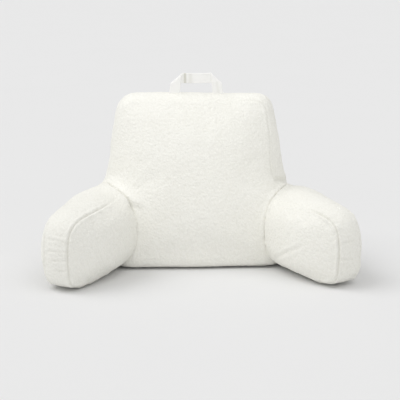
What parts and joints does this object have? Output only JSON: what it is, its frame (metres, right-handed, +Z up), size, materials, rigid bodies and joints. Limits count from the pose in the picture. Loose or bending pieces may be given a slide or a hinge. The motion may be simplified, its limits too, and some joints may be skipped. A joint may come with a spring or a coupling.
{
  "type": "backrest pillow",
  "caption": "Backrest pillow: an upright filled back cushion with two filled arms that reach forwards, in pebbled pile cloth, and a strap handle on top.",
  "frame": {"origin": "on the ground under the middle of the bounding box", "axes": "+X to the right as seen from the front, -Y out of the front towards the sitter, +Z up"},
  "size_m": [0.7966, 0.4483, 0.4945],
  "materials": {
    "pile_cloth": "ivory pebbled sherpa pile",
    "strap_webbing": "ivory flat woven strap"
  },
  "bodies": {
    "root": {"back_cushion": "pile_cloth", "arm_left": "pile_cloth", "arm_right": "pile_cloth", "carry_handle": "strap_webbing"}
  },
  "joints": []
}
